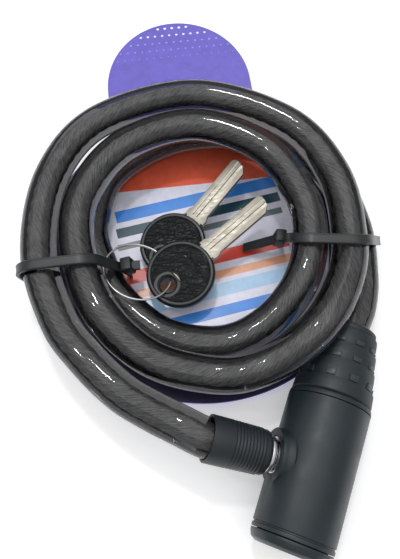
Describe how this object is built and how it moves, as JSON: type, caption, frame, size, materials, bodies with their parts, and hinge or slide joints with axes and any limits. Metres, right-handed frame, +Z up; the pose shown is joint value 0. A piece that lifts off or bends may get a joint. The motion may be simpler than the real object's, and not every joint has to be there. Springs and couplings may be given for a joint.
{
  "type": "cable lock",
  "caption": "Coiled cable lock on a backing card: a keyed barrel lock, a plug that enters its side, a smoked cable over a steel rope, and keys on a ring.",
  "frame": {"origin": "on the floor under the middle of the lock, card, ties and keys, without the cable", "axes": "+Z up from the floor, +Y from the lock towards the card's hanging tab, +X to the side where the lock lies"},
  "size_m": [0.1254, 0.2166, 0.0313],
  "materials": {
    "housing_plastic": "satin dark slate",
    "boot_rubber": "matte",
    "smoked_jacket": "clear smoked, glossy",
    "steel_rope": "twisted strands",
    "plated_steel": "bright plating",
    "zinc": "die-cast zinc",
    "brass": "machined",
    "key_nickel": "nickel-plated brass",
    "key_plastic": "glossy rim, grained centre",
    "tie_nylon": "satin nylon",
    "printed_card": "printed, laminated"
  },
  "bodies": {
    "lock_head": {"housing_shell": "housing_plastic", "end_cap": "housing_plastic", "cable_boot": "boot_rubber", "lock_case": "zinc", "cylinder_shell": "brass", "cylinder_pin": "plated_steel", "entry_bushing": "plated_steel", "cable_crimp": "zinc", "crimp_pin": "plated_steel", "cable_jacket_coil": "smoked_jacket", "steel_core_coil": "steel_rope", "cable_tie_left": "tie_nylon", "cable_tie_right": "tie_nylon", "backing_card": "printed_card"},
    "rotor_body": {"rotor": "brass", "rotor_clip": "plated_steel", "drive_cam": "zinc"},
    "wafer_body_1": {"wafer_1": "brass"},
    "wafer_body_2": {"wafer_2": "brass"},
    "wafer_body_3": {"wafer_3": "brass"},
    "wafer_body_4": {"wafer_4": "brass"},
    "bolt_body": {"locking_bolt": "zinc"},
    "plug_body": {"plug_sleeve": "boot_rubber", "plug_collar": "plated_steel", "latch_pin": "plated_steel", "plug_crimp": "zinc", "cable_jacket_lead": "smoked_jacket", "steel_core_lead": "steel_rope"},
    "ring_body": {"key_ring": "plated_steel"},
    "key_1_body": {"key_1_head": "key_plastic", "key_1_blade": "key_nickel"},
    "key_2_body": {"key_2_head": "key_plastic", "key_2_blade": "key_nickel"}
  },
  "joints": [
    {"name": "plug_slide", "type": "slide", "parent": "lock_head", "child": "plug_body", "axis": [-0.9375, 0.1931, 0.2895], "range_m": [0, 0.018], "deforming": ["cable_jacket_lead", "steel_core_lead"]},
    {"name": "rotor_turn", "type": "hinge", "parent": "lock_head", "child": "rotor_body", "pos_m": [0.03162, -0.08084, 0.01299], "axis": [0.342, 0.9397, 0], "range_deg": [-90, 0]},
    {"name": "bolt_slide", "type": "slide", "parent": "lock_head", "child": "bolt_body", "axis": [0.2747, -0.1, 0.9563], "range_m": [0, 0.00398]},
    {"name": "wafer_1_slide", "type": "slide", "parent": "rotor_body", "child": "wafer_body_1", "axis": [0.2747, -0.1, 0.9563], "range_m": [0, 0.0006]},
    {"name": "wafer_2_slide", "type": "slide", "parent": "rotor_body", "child": "wafer_body_2", "axis": [0.2747, -0.1, 0.9563], "range_m": [0, 0.0006]},
    {"name": "wafer_3_slide", "type": "slide", "parent": "rotor_body", "child": "wafer_body_3", "axis": [0.2747, -0.1, 0.9563], "range_m": [0, 0.0006]},
    {"name": "wafer_4_slide", "type": "slide", "parent": "rotor_body", "child": "wafer_body_4", "axis": [0.2747, -0.1, 0.9563], "range_m": [0, 0.0006]},
    {"name": "ring_swing", "type": "hinge", "parent": "lock_head", "child": "ring_body", "pos_m": [-0.03238, -0.02408, 0.01699], "axis": [0.6157, -0.788, 0], "range_deg": [0, 55]},
    {"name": "key_1_swing", "type": "hinge", "parent": "ring_body", "child": "key_1_body", "pos_m": [-0.01338, -0.02165, 0.01037], "axis": [-0.1167, -0.1167, 0.9863], "range_deg": [-6, 6]},
    {"name": "key_2_swing", "type": "hinge", "parent": "ring_body", "child": "key_2_body", "pos_m": [-0.01568, -0.00974, 0.00745], "axis": [-0.1167, -0.1167, 0.9863], "range_deg": [-6, 6]}
  ],
  "couplings": [
    {"joint": "bolt_slide", "follows": "rotor_turn", "m_per_rad": -0.0025209},
    {"joint": "wafer_2_slide", "follows": "wafer_1_slide", "ratio": 1},
    {"joint": "wafer_3_slide", "follows": "wafer_1_slide", "ratio": 1},
    {"joint": "wafer_4_slide", "follows": "wafer_1_slide", "ratio": 1}
  ]
}
